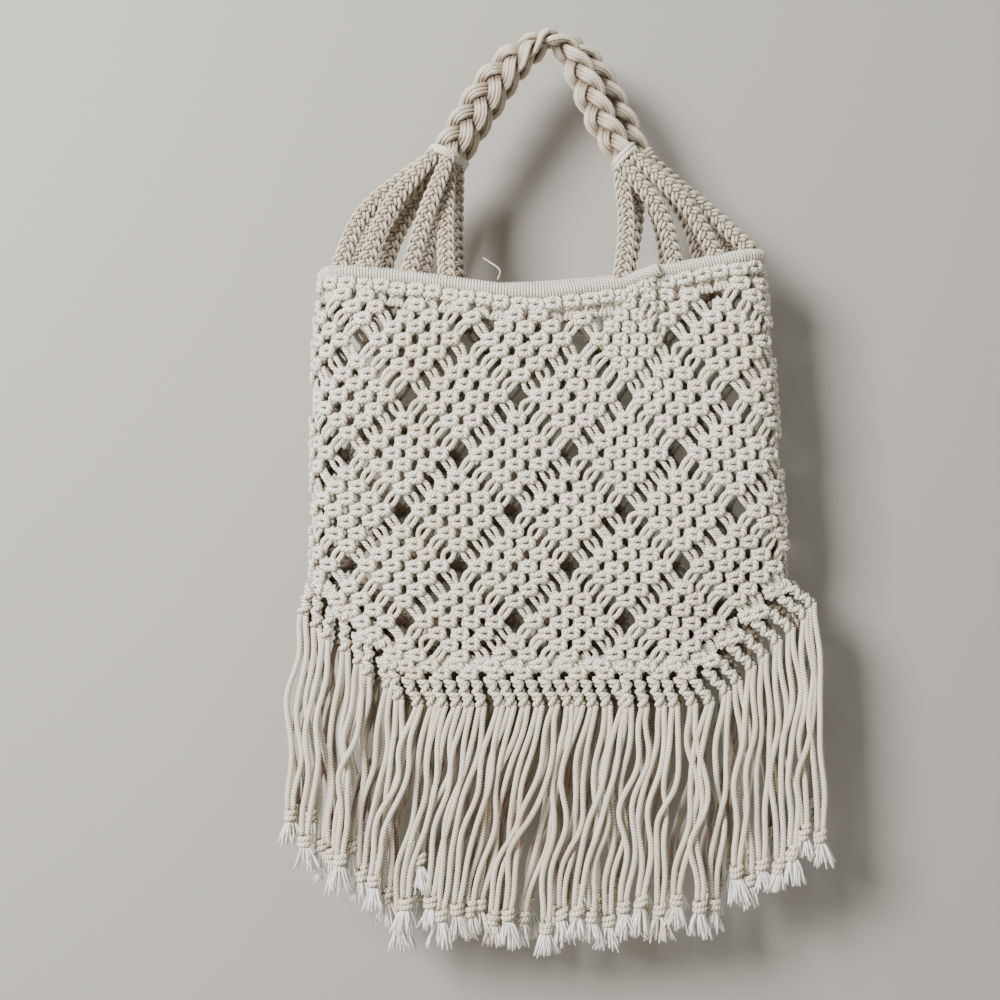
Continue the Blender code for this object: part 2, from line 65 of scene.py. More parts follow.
def studio():
    """The floor is a sheet that is flat, turns through a quarter circle and rises."""
    turn = np.linspace(0.0, np.pi / 2.0, 12)
    radius, floor_z, wall_y, half = 0.12, -0.8, 0.06, 3.2
    profile = [(wall_y + radius * (np.sin(t) - 1.0), floor_z + radius * (1.0 - np.cos(t))) for t in turn]
    profile = np.array([(-2.6, floor_z), *profile, (wall_y, 1.9)])
    count = len(profile)
    points = [(side * half, y, z) for side in (-1.0, 1.0) for y, z in profile]
    faces = [(i, i + count, i + count + 1, i + 1) for i in range(count - 1)]
    mesh = bpy.data.meshes.new("studio_floor")
    mesh.from_pydata(points, [], faces)
    mesh.shade_smooth()
    paint = bpy.data.materials.new("studio_paper")
    paint.use_nodes = True
    nodes, links = paint.node_tree.nodes, paint.node_tree.links
    shader = nodes["Principled BSDF"]
    shader.inputs["Base Color"].default_value = (0.37, 0.355, 0.325, 1.0)
    shader.inputs["Roughness"].default_value = 0.95
    face = nodes.new("ShaderNodeNewGeometry")
    front = nodes.new("ShaderNodeMath")
    front.operation = "SUBTRACT"
    front.inputs[0].default_value = 1.0
    light = nodes.new("ShaderNodeLightPath")
    either = nodes.new("ShaderNodeMath")
    either.operation = "MAXIMUM"
    links.new(face.outputs["Backfacing"], either.inputs[0])
    links.new(light.outputs["Is Shadow Ray"], either.inputs[1])
    links.new(either.outputs[0], front.inputs[1])
    links.new(front.outputs[0], shader.inputs["Alpha"])
    mesh.materials.append(paint)
    floor = placed("studio_floor", mesh)

    lens = bpy.data.cameras.new("camera")
    lens.lens = lens.sensor_width * (VIEW_DISTANCE - BAG_FRONT) / (VIEW_PIXELS * PIXEL)
    camera = placed("camera", lens)
    camera.location = (VIEW_CENTRE[0], -VIEW_DISTANCE, VIEW_CENTRE[1])
    camera.rotation_euler = (np.pi / 2.0, 0.0, 0.0)
    bpy.context.scene.camera = camera

    for name, place, aim, size, power, colour in LAMPS:
        lamp = bpy.data.lights.new(name, "AREA")
        lamp.size = size
        lamp.energy = power
        lamp.color = colour
        made = placed(name, lamp)
        made.location = place
        towards = np.array(aim) - np.array(place)
        flat = np.hypot(towards[0], towards[1])
        made.rotation_euler = (np.arctan2(flat, -towards[2]), 0.0,
                               np.arctan2(-towards[0], towards[1]))
    world = bpy.data.worlds.new("studio_air")
    world.use_nodes = True
    air = world.node_tree.nodes["Background"].inputs
    air["Color"].default_value = (0.8, 0.79, 0.77, 1.0)
    air["Strength"].default_value = 0.18
    bpy.context.scene.world = world


studio()

# The knotted net, front and back: undyed cotton cord, three plies twisted, tied in square
# knots round the bag. Four by four knots make a diamond, and bare pairs of cord cross the
# open line between two diamonds. The last knots close the rounded bottom edge.
BAG_WIDTH = 0.324  # between the middles of the two side walls, at the widest row
BAG_DEPTH = 0.04  # between the middles of the front and back walls, at the rim
ROW_DROP = 0.0383  # height of half a diamond
ROW_ZERO = 0.158  # depth of the first row of diamonds below the hang point
ROWS = 7
COLUMNS = 18  # half diamonds all the way round
PHASE = 0.357  # place of a crossing right of the front's middle, in columns
WALL = 0.008  # thickness of the knotted net
CORNER_ROW = 5.25  # row where the rounded bottom starts at the sides
CORNER_CLOSING = 0.75  # closing towards a cut corner, against the flat bottom
CLOSING_ROWS = 2.0  # rows over which the two faces come together at the bottom
SIDE = COLUMNS / 4.0  # column where the front meets the back
RIM_ROD = 0.01  # thickness of the wrapped rim
CORD = 0.0038  # thickness of the cord where it lies free
KNOT_CORD = 0.0045  # and over the front of a knot
KNOT_PITCH = 0.432  # knot to knot along a row, in columns
KNOT_STEP = 0.207  # row of knots to row of knots, in rows
COLUMN_WIDTH = 0.038  # one column at the rim
DEEP_START = 0.0018  # level under which a cord is painted with the shade of its neighbours
DEEP_SPAN = 0.0036  # depth over which that painted shade comes on
EDGE_START = 0.4  # share of its radius under which a cord's own side gets painted shade
EDGE_SPAN = 0.9
EDGE_SHADE = 0.6  # painted shade where a cord's round side meets its neighbour's
ROPE_START = 0.92  # share of a rope's half size inside which its cords get painted shade
ROPE_SPAN = 0.42
MAP_START = 0.5  # longest random start of a cord's map, in metres
STEEP = 0.8  # a path that starts more along Y than this has its first spoke along X
rng = np.random.default_rng(7)

# Row, left and right edge as shares of half the width, thickness as a share of the depth
BODY_ROWS = np.array([
    (-0.5, -0.96, 0.885, 1.0), (0.0, -0.967, 0.9, 1.0), (1.0, -0.988, 0.927, 1.04),
    (2.0, -0.996, 0.944, 1.0), (3.0, -0.996, 0.96, 0.96), (4.0, -0.998, 0.981, 0.88),
    (5.0, -1.0, 0.996, 0.8), (6.0, -1.0, 1.0, 0.7), (7.0, -1.0, 1.0, 0.6)])
# Column, drop of the rim in rows, and lean forward as a share of the depth
RIM_LINE = np.array([
    (-9.0, 0.1, 0.0), (-6.5, 0.02, 0.0), (-4.5, 0.16, 0.0), (-4.1, 0.24, 0.0),
    (-3.3, 0.19, 0.03), (-2.4, 0.09, 0.08), (-1.4, -0.05, 0.15), (-0.6, -0.16, 0.2),
    (0.1, -0.19, 0.21), (0.7, -0.1, 0.19), (1.5, -0.02, 0.13), (2.02, 0.2, 0.06),
    (2.12, 0.22, -0.08), (2.9, 0.35, -0.06), (3.7, 0.49, -0.03), (4.2, 0.56, 0.0),
    (4.5, 0.5, 0.0), (6.5, 0.3, 0.0), (9.0, 0.1, 0.0)])
RIM_END = 2.07  # column where the two ends of the rim meet
LEAN_ROWS = 2.0  # rows over which the forward lean dies away
# Sideways pull beside the pleat in columns, by row and then as a share by column
PLEAT_ROWS = np.array([(-0.5, 0.36), (0.0, 0.34), (1.0, 0.286), (2.0, 0.143), (3.0, 0.05), (4.0, 0.0)])
PLEAT_COLUMNS = np.array([(-9.0, 0.0), (-6.0, 1.0), (0.9, 1.1), (2.3, -0.25), (4.5, 0.0), (9.0, 0.0)])


def smooth(share):
    """Ease from 0 to 1, flat at both ends."""
    held = np.clip(share, 0.0, 1.0)
    return held * held * (3.0 - 2.0 * held)


def unit(vectors):
    """Vectors scaled to a length of one."""
    return vectors / np.maximum(np.linalg.norm(vectors, axis=-1, keepdims=True), 1e-12)


def xyz(x, y, z):
    """Points from their coordinates, each a number or an array."""
    return np.stack(np.broadcast_arrays(x, y, z), axis=-1)


def wrap(column):
    """Column counted from the front's middle, up to half way round on either side."""
    return (column + COLUMNS / 2.0) % COLUMNS - COLUMNS / 2.0


def read(table, place, n=1):
    """Value n of a table at a place between its rows."""
    return np.interp(place, table[:, 0], table[:, n])


def walked_along(path):
    """Length walked along a path at each of its points."""
    return np.concatenate([[0.0], np.cumsum(np.linalg.norm(np.diff(path, axis=0), axis=1))])


def bottom_distance(column, row):
    """Rows left between a place and the bottom edge, flat in the middle and cut at the corners."""
    corner = (SIDE - np.abs(column)) + (CORNER_ROW - row)
    return np.minimum(ROWS - row, np.maximum(corner, 0.0) * CORNER_CLOSING)


def bag_surface(column, row, out=0.0):
    """Point on the bag. The section at each row is a stadium: two straight walls joined by
    half circles, walked from the front's middle, with out measured along its normal."""
    column = np.asarray(column, float)
    row = np.asarray(row, float)
    left = read(BODY_ROWS, row, 1) * BAG_WIDTH / 2.0
    right = read(BODY_ROWS, row, 2) * BAG_WIDTH / 2.0
    half = read(BODY_ROWS, row, 3) * BAG_DEPTH / 2.0
    wrapped = wrap(column)
    straight = (right - left) - 2.0 * half
    arc = np.abs(wrapped) / COLUMNS * (2.0 * straight + 2.0 * np.pi * half)
    turn = np.clip((arc - straight / 2.0) / half, 0.0, np.pi)
    along = np.minimum(arc, straight / 2.0) - np.maximum(arc - straight / 2.0 - np.pi * half, 0.0)
    side = np.where(wrapped < 0.0, -1.0, 1.0)
    near = np.where(turn < np.pi / 2.0, wrapped, SIDE * 2.0 - np.abs(wrapped))
    closing = smooth(bottom_distance(near, row) / CLOSING_ROWS)
    shut = WALL / 2.0
    depth = shut + (half - shut) * closing
    lean = read(RIM_LINE, wrapped, 2) * BAG_DEPTH * (1.0 - smooth(row / LEAN_ROWS))
    x = (left + right) / 2.0 + side * (along + half * np.sin(turn)) + side * np.sin(turn) * out
    y = -np.cos(turn) * (depth + out) - lean
    return xyz(x, y, -ROW_ZERO - row * ROW_DROP)


def pulled(column, row):
    """Column on the surface of a place in the pattern, pulled sideways beside the pleat."""
    return column + read(PLEAT_ROWS, row) * read(PLEAT_COLUMNS, wrap(column))


def rim_point(column):
    """Middle of the rim rope at a column."""
    column = np.asarray(column, float)
    point = bag_surface(column, np.zeros_like(column))
    point[..., 2] = -ROW_ZERO + read(RIM_LINE, wrap(column)) * ROW_DROP
    return point


def smooth_path(points, count):
    """Catmull-Rom curve through the last but one axis of points, evenly spaced in its parameter."""
    points = np.asarray(points, float)
    first = 2.0 * points[..., :1, :] - points[..., 1:2, :]
    last = 2.0 * points[..., -1:, :] - points[..., -2:-1, :]
    padded = np.concatenate([first, points, last], axis=-2)
    share = np.linspace(0.0, points.shape[-2] - 1.0, count)
    index = np.minimum(share.astype(int), points.shape[-2] - 2)
    t = (share - index)[:, None]
    p0, p1, p2, p3 = (padded[..., index + n, :] for n in range(4))
    return 0.5 * (2.0 * p1 + (p2 - p0) * t + (2.0 * p0 - 5.0 * p1 + 4.0 * p2 - p3) * t ** 2
                  + (3.0 * p1 - p0 - 3.0 * p2 + p3) * t ** 3)


def cords(name, groups, material):
    """One mesh of many cords. Each group is (paths, radius, sides): paths holds cords by
    points by xyz, and radius is one number or one for each point. A round section is
    carried along every path, its first spoke kept square to the path and turned as
    little as it can be. The map gives metres along the cord and the share of a turn
    round it, the attribute tone one random number for each cord, and the attribute deep
    the painted shade of a point from 0 to 1, more the farther back in the work it lies.
    For deep a group goes on with each cord's outward direction and each point's level over
    the middle of the work, or with a rope's middle line and, at its points, two directions
    divided by its half sizes."""
    all_points, all_faces, all_map, all_tone, all_painted_shade = [], [], [], [], []
    base = 0
    caps = []
    for paths, radius, sides, *lying in groups:
        paths = np.asarray(paths, float)
        count, length = paths.shape[:2]
        ahead = unit(np.gradient(paths, axis=1))
        spoke = np.zeros_like(paths)
        guess = np.where(np.abs(ahead[:, 0, 1:2]) < STEEP, [[0.0, 1.0, 0.0]], [[1.0, 0.0, 0.0]])
        for step in range(length):
            guess = unit(guess - ahead[:, step] * (guess * ahead[:, step]).sum(1, keepdims=True))
            spoke[:, step] = guess
        other = np.cross(ahead, spoke)
        angle = np.arange(sides) / sides * 2.0 * np.pi
        thick = np.broadcast_to(np.asarray(radius, float), (count, length))[:, :, None, None]
        ring = paths[:, :, None, :] + thick * (spoke[:, :, None, :] * np.cos(angle)[:, None]
                                               + other[:, :, None, :] * np.sin(angle)[:, None])
        walked = np.linalg.norm(np.diff(paths, axis=1), axis=2)
        walked = np.concatenate([np.zeros((count, 1)), np.cumsum(walked, axis=1)], axis=1)
        walked += rng.random((count, 1)) * MAP_START
        k, i, j = np.meshgrid(np.arange(count), np.arange(length - 1), np.arange(sides), indexing="ij")
        at = base + (k * length + i) * sides
        nxt = (j + 1) % sides
        faces = np.stack([at + j, at + nxt, at + sides + nxt, at + sides + j], axis=-1)
        low, high = walked[k, i], walked[k, i + 1]
        around, beyond = j / sides, (j + 1) / sides
        corners = ((low, around), (low, beyond), (high, beyond), (high, around))
        uv = np.stack([np.stack(corner, -1) for corner in corners], axis=3)
        starts = base + np.arange(count)[:, None] * length * sides
        rounds = np.arange(sides)[None, :]
        caps.append((starts + rounds[:, ::-1], sides))
        caps.append((starts + (length - 1) * sides + rounds, sides))
        all_points.append(ring.reshape(-1, 3))
        all_faces.append(faces.reshape(-1, 4))
        all_map.append(uv.reshape(-1, 2))
        all_tone.append(np.repeat(rng.random(count), length * sides))
        # painted shade: none for a group that doesn't say how its cords lie
        deep = np.zeros((count, length, sides))
        if len(lying) == 2:
            outward, level = lying
            over = ((ring - paths[:, :, None, :]) * outward[:, None, None, :]).sum(3)
            deep = np.clip((DEEP_START - over - level[..., None]) / DEEP_SPAN, 0.0, 1.0)
            edge = np.clip((EDGE_START - over / thick[..., 0]) / EDGE_SPAN, 0.0, 1.0)
            deep = np.maximum(deep, edge * EDGE_SHADE)
        elif len(lying) == 3:
            middle, wide, high = lying
            off = ring - middle[:, None]
            out = np.hypot((off * wide[:, None]).sum(3), (off * high[:, None]).sum(3))
            deep = np.clip((ROPE_START - out) / ROPE_SPAN, 0.0, 1.0)
        all_painted_shade.append(deep.reshape(-1))
        base += count * length * sides
    points = np.concatenate(all_points)
    quads = np.concatenate(all_faces)
    loops = [quads.reshape(-1)] + [cap.reshape(-1) for cap, _ in caps]
    sizes = [np.full(len(quads), 4)] + [np.full(len(cap), sides) for cap, sides in caps]
    loops, sizes = np.concatenate(loops), np.concatenate(sizes)
    mesh = bpy.data.meshes.new(name)
    mesh.vertices.add(len(points))
    mesh.vertices.foreach_set("co", points.reshape(-1))
    mesh.loops.add(len(loops))
    mesh.loops.foreach_set("vertex_index", loops.astype(np.int32))
    mesh.polygons.add(len(sizes))
    mesh.polygons.foreach_set("loop_start", (np.cumsum(sizes) - sizes).astype(np.int32))
    mesh.polygons.foreach_set("loop_total", sizes.astype(np.int32))
    mesh.update(calc_edges=True)
    mesh.shade_smooth()
    layer = mesh.uv_layers.new(name="along")
    flat = np.zeros((len(loops), 2))
    mapped = np.concatenate(all_map)
    flat[:len(mapped)] = mapped
    layer.data.foreach_set("uv", flat.reshape(-1))
    for kind, values in (("tone", all_tone), ("deep", all_painted_shade)):
        one = mesh.attributes.new(kind, "FLOAT", "POINT")
        one.data.foreach_set("value", np.concatenate(values))
    mesh.materials.append(material)
    made = placed(name, mesh)
    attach(made, "root")
    return made


COLOURS = ("Pale", "Deep", "Stain", "Shade")
FIGURES = ("Turns", "Plies", "Fuzz")
STAIN = (0.6, 0.47, 0.33)
# colour of the painted shade that the attribute deep lays on
SHADE = (0.17, 0.11, 0.07)
PLY_ROUND = 0.5  # power that rounds a ply's back and narrows its groove and the groove's painted shade
TONE_SPREAD = 0.16  # how much one cord's tone differs from another's
PAINTED_SHADE_STRENGTH = 0.92


def twist_group():
    """Shader group of twisted cotton. A ply's round back comes from a sine of turns along
    the cord plus the way round it, and fine fibres from noise stretched along the twist.
    The colour runs from Pale to Deep with painted shade in the grooves between the plies,
    with the fibres and with each cord's random tone; it then takes the stains, and last the
    painted shade of the attribute deep, towards Shade. Outputs are the colour and the height."""
    group = bpy.data.node_groups.new("cotton_twist", "ShaderNodeTree")
    face = group.interface
    for name in COLOURS:
        face.new_socket(name=name, in_out="INPUT", socket_type="NodeSocketColor")
    for name in FIGURES:
        face.new_socket(name=name, in_out="INPUT", socket_type="NodeSocketFloat")
    face.new_socket(name="Color", in_out="OUTPUT", socket_type="NodeSocketColor")
    face.new_socket(name="Height", in_out="OUTPUT", socket_type="NodeSocketFloat")
    nodes, links = group.nodes, group.links
    given = nodes.new("NodeGroupInput").outputs
    result = nodes.new("NodeGroupOutput")

    def math(operation, first, second=None):
        node = nodes.new("ShaderNodeMath")
        node.operation = operation
        for socket, value in zip(node.inputs, (first, second)):
            if isinstance(value, (int, float)):
                socket.default_value = value
            elif value is not None:
                links.new(value, socket)
        return node.outputs[0]

    def mix(share, first, second):
        node = nodes.new("ShaderNodeMix")
        node.data_type = "RGBA"
        for socket, value in ((0, share), (6, first), (7, second)):
            links.new(value, node.inputs[socket])
        return node.outputs[2]

    def noise(vector, scale, detail):
        node = nodes.new("ShaderNodeTexNoise")
        node.inputs["Scale"].default_value = scale
        node.inputs["Detail"].default_value = detail
        links.new(vector, node.inputs["Vector"])
        return node.outputs["Fac"]

    def attribute(name):
        node = nodes.new("ShaderNodeAttribute")
        node.attribute_name = name
        return node.outputs["Fac"]

    uv = nodes.new("ShaderNodeUVMap")
    uv.uv_map = "along"
    parts = nodes.new("ShaderNodeSeparateXYZ")
    links.new(uv.outputs[0], parts.inputs[0])
    turned = math("ADD", math("MULTIPLY", parts.outputs[0], given["Turns"]), parts.outputs[1])
    phase = math("MULTIPLY", turned, given["Plies"])
    ply = math("POWER", math("ABSOLUTE", math("SINE", math("MULTIPLY", phase, np.pi))), PLY_ROUND)
    stretch = nodes.new("ShaderNodeCombineXYZ")
    links.new(math("MULTIPLY", turned, 26.0), stretch.inputs[0])
    links.new(math("MULTIPLY", parts.outputs[0], 160.0), stretch.inputs[1])
    fibre = noise(stretch.outputs[0], 1.0, 3.0)
    place = nodes.new("ShaderNodeTexCoord")
    blotch = noise(place.outputs["Object"], 16.0, 2.0)
    # painted shade in the grooves between the plies, with the fibres and each cord's random tone added
    shade = math("MULTIPLY", math("SUBTRACT", 1.0, ply), 1.35)
    shade = math("ADD", shade, math("MULTIPLY", math("SUBTRACT", fibre, 0.5), given["Fuzz"]))
    tone = math("SUBTRACT", attribute("tone"), 0.5)
    shade = math("ADD", shade, math("MULTIPLY", tone, TONE_SPREAD))
    ramp = nodes.new("ShaderNodeClamp")
    links.new(shade, ramp.inputs["Value"])
    colour = mix(ramp.outputs[0], given["Pale"], given["Deep"])
    spot = nodes.new("ShaderNodeMapRange")
    links.new(blotch, spot.inputs["Value"])
    for socket, value in (("From Min", 0.56), ("From Max", 0.8), ("To Max", 0.45)):
        spot.inputs[socket].default_value = value
    colour = mix(spot.outputs[0], colour, given["Stain"])
    # painted shade: the attribute deep darkens the colour towards Shade
    colour = mix(math("MULTIPLY", attribute("deep"), PAINTED_SHADE_STRENGTH), colour, given["Shade"])
    links.new(colour, result.inputs["Color"])
    height = math("ADD", ply, math("MULTIPLY", fibre, given["Fuzz"]))
    links.new(height, result.inputs["Height"])
    return group


TWIST = twist_group()


def cotton(name, pale, deep, turns, plies=3.0, fuzz=0.35, depth=0.0005):
    """Matt cotton material on the twist group, with the plies raised by bump. Pale is the
    colour of a ply's back, deep that of the painted shade in its grooves and the dark end of the fibres
    and tones.
    """
    made = bpy.data.materials.new(name)
    made.use_nodes = True
    nodes, links = made.node_tree.nodes, made.node_tree.links
    shader = nodes["Principled BSDF"]
    for socket, value in (("Roughness", 0.92), ("Specular IOR Level", 0.15),
                          ("Sheen Weight", 0.12), ("Sheen Roughness", 0.6)):
        shader.inputs[socket].default_value = value
    twist = nodes.new("ShaderNodeGroup")
    twist.node_tree = TWIST
    for socket, value in zip(COLOURS, (pale, deep, STAIN, SHADE)):
        twist.inputs[socket].default_value = (*value, 1.0)
    for socket, value in zip(FIGURES, (turns, plies, fuzz)):
        twist.inputs[socket].default_value = value
    bump = nodes.new("ShaderNodeBump")
    bump.inputs["Strength"].default_value = 1.0
    bump.inputs["Distance"].default_value = depth
    links.new(twist.outputs["Color"], shader.inputs["Base Color"])
    links.new(twist.outputs["Height"], bump.inputs["Height"])
    links.new(bump.outputs["Normal"], shader.inputs["Normal"])
    return made


NET_COTTON = cotton("net_cotton", (0.95, 0.91, 0.805), (0.42, 0.34, 0.24), 150.0)

# Routes of a knot's four cords in millimetres: right, up and outwards from its middle.
# The right cord crosses over in front, turns back on the left and crosses again. The left
# cord goes over that turn, behind, and up in front on the right, where it shows as a loop.
def there_and_back(half, middle=()):
    """A route whose second part is its first one walked back, with up turned to down."""
    return half + list(middle) + [(right, -up, out) for right, up, out in half[::-1]]


RIGHT_CORD = there_and_back([(5.05, 2.87, 0.0), (4.3, 2.2, 0.2), (2.8, 2.3, 2.3), (0.5, 2.6, 3.6),
                             (-2.3, 1.9, 3.1), (-3.9, 1.4, 1.0)], [(-4.3, 0.0, -0.6)])
LEFT_CORD = there_and_back([(-5.05, 2.87, 0.8), (-4.5, 2.0, 2.2), (-3.8, 0.9, 2.9), (-2.7, 0.4, 0.2),
                            (-1.2, 0.9, -2.6), (1.2, 1.2, -2.6), (2.6, 2.6, -0.2), (3.4, 2.7, 2.2),
                            (4.3, 1.5, 3.7)], [(4.6, 0.0, 4.0)])
# The two cords inside the knot, and a cord that runs on from an end knot, both on one side
FILLER_CORD = there_and_back([(3.3, 5.2, 0.2), (1.7, 4.0, 1.0)])
SPARE_CORD = [(1.7, 2.6, -0.8), (2.3, 5.2, -1.2), (3.9, 8.6, -1.4), (5.2, 12.0, -1.6)]
SPARE_SHARES = (-1.0, -0.35, 0.35, 1.0)
# Bare cords across a gap line: start from the knot's middle right and up, and bow, in millimetres
GAP_CORDS = {"outer": (4.8, -1.9, 1.2), "inner": (2.6, -4.8, -0.2)}
GAP_SHARES = np.array([-0.12, 0.0, 0.28, 0.52, 0.76, 1.0, 1.12])
GAP_SWAY = 0.5
GAP_RISE = (0.2, 1.3)  # outwards at the ends, and more in the middle, in millimetres
# level of the bare pairs over the middle of the work, which sets their painted shade
GAP_LEVEL = 0.001
EDGE_KEEP = 0.13  # rows over the closing row that the net's knots leave free
GAP_KEEP = 0.1  # rows under it that a bare pair may still reach
RIM_KEEP = 0.0092  # and height kept free under the rim
KNOT_SCATTER = (0.014, 0.012, 0.09)  # in columns, rows and radians
HEAD_DROP = 0.003  # rim to the middle of the knots under it
CORD_AT_ENDS = 0.92  # a knotting cord's ends, for the free cord's thickness
NET_NODES = {"front": ("front_panel", "front_left_side", "front_right_side"),
             "back": ("back_panel",)}
# Points along the left and the right cord of a knot, and sides, in front and behind
KNOT_STEPS = (((27, 21), 6), ((17, 13), 5))
HEAD_KNOTS = 56  # knots hanging right under the rim, all the way round
EDGE_ROW = 0.07  # closing row over the bottom edge, in rows
SECOND_ROW = 0.15  # the row behind it over the closing row, in rows


def knot_grid(face):
    """Columns and rows of every knot on a face, front 0 or back 1, diamond by diamond.
    A diamond has rows of 1, 2, 3, 4, 3, 2 and 1 knots round its middle."""
    low = -SIDE + face * COLUMNS / 2.0
    places = []
    for row in range(-1, ROWS + 2):
        for column in range(-6 + 9 * face, 7 + 9 * face):
            if (column + row) % 2:
                continue
            for step in range(-3, 4):
                across = 4 - abs(step)
                for n in range(across):
                    c = PHASE + column + (n - (across - 1) / 2.0) * KNOT_PITCH
                    r = row + step * KNOT_STEP
                    places.append((c, r, step, n))
    places = np.array(places)
    c, r = places[:, 0], places[:, 1]
    keep = (c >= low) & (c < low + 2 * SIDE) & (r < ROWS)
    near = c - face * COLUMNS / 2.0
    keep &= bottom_distance(near, r) > EDGE_ROW + EDGE_KEEP
    top = rim_point(pulled(c, r))[:, 2] - RIM_ROD / 2.0
    keep &= -ROW_ZERO - r * ROW_DROP < top - RIM_KEEP
    return places[keep]


def laid(route, column, row, tilt):
    """Routes laid on the bag at many places: cords by points by xyz. Each route is turned
    by tilt about its middle before it is wrapped on the surface."""
    route = np.asarray(route, float) / 1000.0
    tilt = tilt[:, None]
    right = route[None, :, 0] * np.cos(tilt) - route[None, :, 1] * np.sin(tilt)
    up = route[None, :, 0] * np.sin(tilt) + route[None, :, 1] * np.cos(tilt)
    c = column[:, None] + right / COLUMN_WIDTH
    r = row[:, None] - up / ROW_DROP
    return bag_surface(pulled(c, r), r, np.broadcast_to(route[None, :, 2], c.shape))


def gap_cords(face):
    """Bare pairs across the lines between diamonds. A pair leaves an edge knot's lower
    corner and goes to the upper corner of the facing knot of the next diamond: the outer
    cord becomes the filler there, and the inner one the knotting cord. Both bow a little."""
    grid = knot_grid(face)
    c, r, step, n = grid.T
    across = 4 - np.abs(step)
    over = (1.0 - 1.5 * KNOT_PITCH) * COLUMN_WIDTH * 1000.0
    down = (1.0 - 3.0 * KNOT_STEP) * ROW_DROP * 1000.0
    routes, places = [], []
    for side in (-1.0, 1.0):
        edge = (step >= 0) & (n == np.where(side > 0, across - 1, 0))
        below = bottom_distance(c - face * COLUMNS / 2.0, r + 1.0 - 3.0 * KNOT_STEP)
        edge &= below > EDGE_ROW - GAP_KEEP
        for name, other in (("outer", "inner"), ("inner", "outer")):
            x0, z0, bow = GAP_CORDS[name]
            x1, z1 = over - GAP_CORDS[other][0], -down - GAP_CORDS[other][1]
            lift = np.sin(np.pi * np.clip(GAP_SHARES, 0.0, 1.0))
            sway = bow + rng.normal(0.0, GAP_SWAY, (edge.sum(), 1))
            x = (x0 + (x1 - x0) * GAP_SHARES)[None] + lift * sway * 0.8
            z = (z0 + (z1 - z0) * GAP_SHARES)[None] + lift * sway * 0.6
            out = np.broadcast_to(GAP_RISE[0] + GAP_RISE[1] * lift, x.shape)
            cc = c[edge][:, None] + side * x / 1000.0 / COLUMN_WIDTH
            rr = r[edge][:, None] - z / 1000.0 / ROW_DROP
            routes.append(bag_surface(pulled(cc, rr), rr, out / 1000.0))
            places.append(np.stack([c[edge], r[edge]], axis=1))
    return smooth_path(np.concatenate(routes), 9 if face == 0 else 8), np.concatenate(places)


def outwards(column, row):
    """Direction straight out of the bag at places in the pattern."""
    at = pulled(column, row)
    return unit(bag_surface(at, row, 0.001) - bag_surface(at, row, 0.0))


def knot_cords(column, row, tilt, steps, sides, sunk=0.0):
    """Groups of cords for many knots, sunk by some millimetres: the left cords in one
    group, all others in two."""
    out = outwards(column, row)
    groups = []
    for route, count in ((LEFT_CORD, steps[0]), (RIGHT_CORD, steps[1])):
        route = np.array(route) - (0.0, 0.0, sunk)
        path = smooth_path(laid(route, column, row, tilt), count)
        # a point's level over the middle of the work, which sets its painted shade
        level = smooth_path(route / 1000.0, count)[:, 2]
        thick = swell(count, CORD * CORD_AT_ENDS, KNOT_CORD)
        groups.append((path, thick, sides, out, np.tile(level, (len(column), 1))))
    for way in (-1.0, 1.0):
        path = smooth_path(laid(np.array(FILLER_CORD) * (way, 1.0, 1.0), column, row, tilt), 4)
        groups.append((path, CORD / 2.0, sides - 1, out, np.zeros((len(column), 4))))
    return groups


def spare_cords(column, row, tilt, way):
    """Cords that run on from end knots under their neighbours: up from the closing row with
    way 1, and down from the knots under the rim with way -1."""
    out = outwards(column, row)
    groups = []
    for share in SPARE_SHARES:
        route = np.array(SPARE_CORD) * (share, way, 1.0)
        path = smooth_path(laid(route, column, row, tilt), 6)
        groups.append((path, CORD / 2.0, 5, out, np.zeros((len(column), 6))))
    return groups


def head_row(face):
    """Columns, rows and tilts of the knots that hang right under the rim."""
    column = (np.arange(HEAD_KNOTS) + 0.5) / HEAD_KNOTS * COLUMNS - SIDE
    column = column[(column >= -SIDE + face * 2 * SIDE) & (column < SIDE + face * 2 * SIDE)]
    row = np.zeros_like(column)
    low = -ROW_ZERO - rim_point(pulled(column, row))[:, 2] + RIM_ROD / 2.0 + HEAD_DROP
    row = low / ROW_DROP
    before, after = rim_point(pulled(column - 0.2, row)), rim_point(pulled(column + 0.2, row))
    run = np.abs(after[:, 0] - before[:, 0]) + 0.002
    return column, row, np.arctan2(after[:, 2] - before[:, 2], run) * 0.9


def swell(count, ends, middle):
    """Thickness along a cord: ends at both ends and middle between, eased with a sine."""
    share = np.sin(np.linspace(0.0, np.pi, count)) ** 0.7
    return (ends + (middle - ends) * share) / 2.0


def net_piece(name, groups, label):
    """A piece that covers the solids of its face of the net."""
    made = cords(name, groups, NET_COTTON)
    for node in NET_NODES[label]:
        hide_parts(node)


def net(face, label):
    """The knots and bare pairs of one face, in three pieces."""
    grid = knot_grid(face)
    head_c, head_r, head_tilt = head_row(face)
    column = np.concatenate([grid[:, 0], head_c])
    row = np.concatenate([grid[:, 1], head_r])
    tilt = np.concatenate([np.zeros(len(grid)), head_tilt])
    column, row, tilt = (values + rng.normal(0.0, spread, len(values))
                         for values, spread in zip((column, row, tilt), KNOT_SCATTER))
    steps, sides = KNOT_STEPS[face]
    groups = knot_cords(column, row, tilt, steps, sides)
    groups += spare_cords(head_c, head_r, head_tilt, -1.0)
    pairs, places = gap_cords(face)
    level = np.full(pairs.shape[:2], GAP_LEVEL)
    bare = (pairs, CORD / 2.0, 6 if face == 0 else 4, outwards(places[:, 0], places[:, 1]), level)
    net_piece(label + "_knots_loops", groups[:1], label)
    net_piece(label + "_knots_wraps", groups[1:], label)
    net_piece(label + "_gap_cords", [bare], label)


